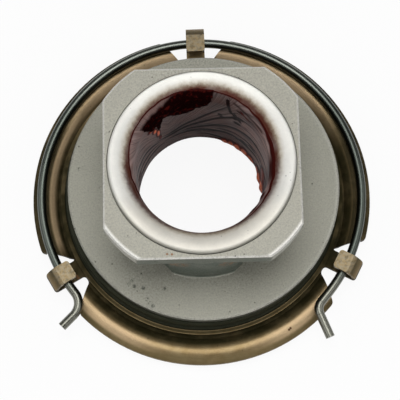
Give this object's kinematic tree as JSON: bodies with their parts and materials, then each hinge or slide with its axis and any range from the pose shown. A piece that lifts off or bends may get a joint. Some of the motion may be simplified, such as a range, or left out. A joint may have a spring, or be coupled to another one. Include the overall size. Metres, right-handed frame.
{
  "type": "clutch release bearing",
  "caption": "Pull-type clutch release bearing: flared guide sleeve with square fork collar, sealed ball bearing, stamped coupling ring with hooks and an open spring wire.",
  "frame": {"origin": "on the sleeve axis, in the plane of the rear end face on which the part stands", "axes": "+Z along the sleeve axis towards the bell mouth, +X and +Y square to the flats of the collar, +Y towards the upper edge of the picture"},
  "size_m": [0.0944, 0.0966, 0.04],
  "materials": {
    "sleeve_steel": "bright drawn steel, stained near the bore",
    "collar_steel": "matte tumbled steel with small pits",
    "washer_steel": "hardened steel, oiled",
    "bearing_steel": "turned bearing steel, oiled",
    "ball_steel": "ground and lapped",
    "shield_steel": "pressed sheet, oiled",
    "ring_zinc": "sheet steel with dull yellow passivated zinc",
    "cage_plastic": "moulded, filled",
    "wire_steel": "dark oiled spring wire"
  },
  "bodies": {
    "sleeve": {"guide_sleeve": "sleeve_steel", "fork_collar": "collar_steel", "thrust_washer": "washer_steel", "inner_ring": "bearing_steel", "disc_spring": "washer_steel"},
    "rotor": {"outer_ring": "bearing_steel", "front_shield": "shield_steel", "rear_shield": "shield_steel", "coupling_ring": "ring_zinc"},
    "cage": {"ball_cage": "cage_plastic", "ball_01": "ball_steel", "ball_02": "ball_steel", "ball_03": "ball_steel", "ball_04": "ball_steel", "ball_05": "ball_steel", "ball_06": "ball_steel", "ball_07": "ball_steel", "ball_08": "ball_steel", "ball_09": "ball_steel", "ball_10": "ball_steel", "ball_11": "ball_steel", "ball_12": "ball_steel", "ball_13": "ball_steel", "ball_14": "ball_steel", "ball_15": "ball_steel", "ball_16": "ball_steel", "ball_17": "ball_steel", "ball_18": "ball_steel"},
    "wire": {"retaining_wire": "wire_steel"}
  },
  "joints": [
    {"name": "bearing_spin", "type": "hinge", "parent": "sleeve", "child": "rotor", "pos_m": [0, 0, 0.0069], "axis": [0, 0, 1], "continuous": true},
    {"name": "cage_spin", "type": "hinge", "parent": "sleeve", "child": "cage", "pos_m": [0, 0, 0.0069], "axis": [0, 0, 1], "continuous": true},
    {"name": "wire_slide", "type": "hinge", "parent": "rotor", "child": "wire", "pos_m": [0, 0, 0.00645], "axis": [0, 0, 1], "range_deg": [-3, 11]}
  ],
  "couplings": [
    {"joint": "cage_spin", "follows": "bearing_spin", "ratio": 0.547}
  ]
}
